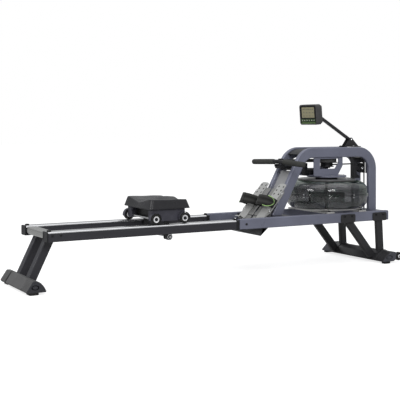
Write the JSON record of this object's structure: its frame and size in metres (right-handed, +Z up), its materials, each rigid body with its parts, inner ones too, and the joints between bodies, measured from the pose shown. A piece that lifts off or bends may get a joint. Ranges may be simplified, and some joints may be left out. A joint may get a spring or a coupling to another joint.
{
  "type": "water rowing machine",
  "caption": "Rowing machine with a wheeled seat on rails, strap-pulled water tank rotor, strapped footboards and a monitor on a tilting arm",
  "frame": {"origin": "on the floor, under the middle of the whole machine", "axes": "+X from the seat rails towards the tank, +Z up, +Y to the left of a rower who faces the tank"},
  "size_m": [2.2226, 0.576, 0.9127],
  "materials": {
    "rail_alloy": "dark anodised sides, bright top",
    "black_plastic": "fine matte moulding",
    "rubber": "matte",
    "slate_paint": "satin powder coat",
    "silver": "brushed",
    "silver_paint": "satin silver paint",
    "black_paint": "satin powder coat",
    "grey_plastic": "matte moulding",
    "tank_clear": "clear, smoky green",
    "plate_grey": "warm grey moulding",
    "panel_grey": "satin warm grey",
    "webbing": "ribbed webbing",
    "foam": "closed-cell foam",
    "handle_metal": "satin black",
    "monitor_shell": "satin moulding",
    "monitor_face": "membrane keys under a gloss face",
    "seat_skin": "moulded foam with a matte skin",
    "carriage_paint": "satin blue-black"
  },
  "bodies": {
    "frame": {"rail_left": "rail_alloy", "rail_right": "rail_alloy", "rail_cap_left": "black_plastic", "rail_cap_right": "black_plastic", "rail_joint_left": "black_plastic", "rail_joint_right": "black_plastic", "head_foot_cap_left": "black_plastic", "head_foot_cap_right": "black_plastic", "strap_guide": "black_plastic", "handle_rest": "black_plastic", "tank_lid": "black_plastic", "tail_bumper_left": "rubber", "tail_bumper_right": "rubber", "return_cord": "rubber", "beam_left": "slate_paint", "beam_right": "slate_paint", "hoop_left": "slate_paint", "hoop_right": "slate_paint", "head_cross_member": "slate_paint", "drive_bracket": "slate_paint", "tail_cross_tube": "silver", "tank_cradle": "silver_paint", "tail_stand": "black_paint", "head_leg_left": "black_paint", "head_leg_right": "black_paint", "head_foot_bar": "black_paint", "foot_base_bracket": "black_paint", "return_bracket": "black_paint", "monitor_bracket": "black_paint", "tail_foot_cap_left": "grey_plastic", "tail_foot_cap_right": "grey_plastic", "tank_lower": "tank_clear", "tank_upper": "tank_clear", "footboard_left": "plate_grey", "footboard_right": "plate_grey", "centre_panel": "panel_grey", "foot_strap_left": "webbing", "foot_strap_right": "webbing", "pull_strap": "webbing", "strap_lead": "webbing"},
    "seat": {"seat_pad": "seat_skin", "seat_carriage": "carriage_paint"},
    "under_rollers": {"under_roller_axle": "black_plastic"},
    "handle": {"handle_bar": "handle_metal", "handle_grip_left": "foam", "handle_grip_right": "foam"},
    "rotor": {"impeller": "black_plastic", "drive_drum": "black_plastic"},
    "return_pulley": {"return_pulley": "black_plastic"},
    "monitor_arm": {"monitor_arm": "black_paint"},
    "monitor": {"monitor_case": "monitor_shell", "monitor_panel": "monitor_face"},
    "foot_slider_left": {"foot_slider_left": "plate_grey"},
    "foot_slider_right": {"foot_slider_right": "plate_grey"},
    "transport_wheel_left": {"transport_wheel_left": "rubber"},
    "transport_wheel_right": {"transport_wheel_right": "rubber"},
    "seat_wheel_tail_left": {"seat_wheel_tail_left": "rubber"},
    "seat_wheel_tail_right": {"seat_wheel_tail_right": "rubber"},
    "seat_wheel_head_left": {"seat_wheel_head_left": "rubber"},
    "seat_wheel_head_right": {"seat_wheel_head_right": "rubber"}
  },
  "joints": [
    {"name": "seat_slide", "type": "slide", "parent": "frame", "child": "seat", "axis": [1, 0, 0], "range_m": [-0.528, 0.27]},
    {"name": "seat_wheel_tail_left_spin", "type": "hinge", "parent": "seat", "child": "seat_wheel_tail_left", "pos_m": [-0.42073, 0.1565, 0.3163], "axis": [0, 1, 0], "continuous": true},
    {"name": "seat_wheel_tail_right_spin", "type": "hinge", "parent": "seat", "child": "seat_wheel_tail_right", "pos_m": [-0.42073, -0.1565, 0.3163], "axis": [0, 1, 0], "continuous": true},
    {"name": "seat_wheel_head_left_spin", "type": "hinge", "parent": "seat", "child": "seat_wheel_head_left", "pos_m": [-0.25573, 0.1565, 0.3163], "axis": [0, 1, 0], "continuous": true},
    {"name": "seat_wheel_head_right_spin", "type": "hinge", "parent": "seat", "child": "seat_wheel_head_right", "pos_m": [-0.25573, -0.1565, 0.3163], "axis": [0, 1, 0], "continuous": true},
    {"name": "under_roller_spin", "type": "hinge", "parent": "seat", "child": "under_rollers", "pos_m": [-0.33823, 0, 0.2227], "axis": [0, 1, 0], "continuous": true},
    {"name": "handle_pull", "type": "slide", "parent": "frame", "child": "handle", "axis": [-1, 0, 0], "range_m": [0, 1], "stiffness_N_per_m": 30, "springref_m": -0.2, "deforming": ["pull_strap"]},
    {"name": "rotor_spin", "type": "hinge", "parent": "frame", "child": "rotor", "pos_m": [0.78337, 0, 0.45], "axis": [0, 0, 1], "continuous": true},
    {"name": "return_pulley_spin", "type": "hinge", "parent": "frame", "child": "return_pulley", "pos_m": [1.03837, 0, 0.5344], "axis": [0, 1, 0], "continuous": true},
    {"name": "monitor_arm_lift", "type": "hinge", "parent": "frame", "child": "monitor_arm", "pos_m": [0.95377, 0, 0.706], "axis": [0, 1, 0], "range_deg": [-18, 30]},
    {"name": "monitor_tilt", "type": "hinge", "parent": "monitor_arm", "child": "monitor", "pos_m": [0.71577, 0, 0.85], "axis": [0, 1, 0], "range_deg": [-20, 20]},
    {"name": "foot_slider_left_shift", "type": "slide", "parent": "frame", "child": "foot_slider_left", "axis": [0.6561, 0, 0.7547], "range_m": [-0.023, 0.046]},
    {"name": "foot_slider_right_shift", "type": "slide", "parent": "frame", "child": "foot_slider_right", "axis": [0.6561, 0, 0.7547], "range_m": [-0.023, 0.046]},
    {"name": "transport_wheel_left_spin", "type": "hinge", "parent": "frame", "child": "transport_wheel_left", "pos_m": [1.08727, 0.276, 0.037], "axis": [0, 1, 0], "continuous": true},
    {"name": "transport_wheel_right_spin", "type": "hinge", "parent": "frame", "child": "transport_wheel_right", "pos_m": [1.08727, -0.276, 0.037], "axis": [0, 1, 0], "continuous": true}
  ],
  "couplings": [
    {"joint": "seat_wheel_tail_left_spin", "follows": "seat_slide", "rad_per_m": 37.037},
    {"joint": "seat_wheel_tail_right_spin", "follows": "seat_slide", "rad_per_m": 37.037},
    {"joint": "seat_wheel_head_left_spin", "follows": "seat_slide", "rad_per_m": 37.037},
    {"joint": "seat_wheel_head_right_spin", "follows": "seat_slide", "rad_per_m": 37.037},
    {"joint": "under_roller_spin", "follows": "seat_slide", "rad_per_m": -58.824},
    {"joint": "rotor_spin", "follows": "handle_pull", "rad_per_m": -21.03},
    {"joint": "return_pulley_spin", "follows": "handle_pull", "rad_per_m": -30.708}
  ]
}
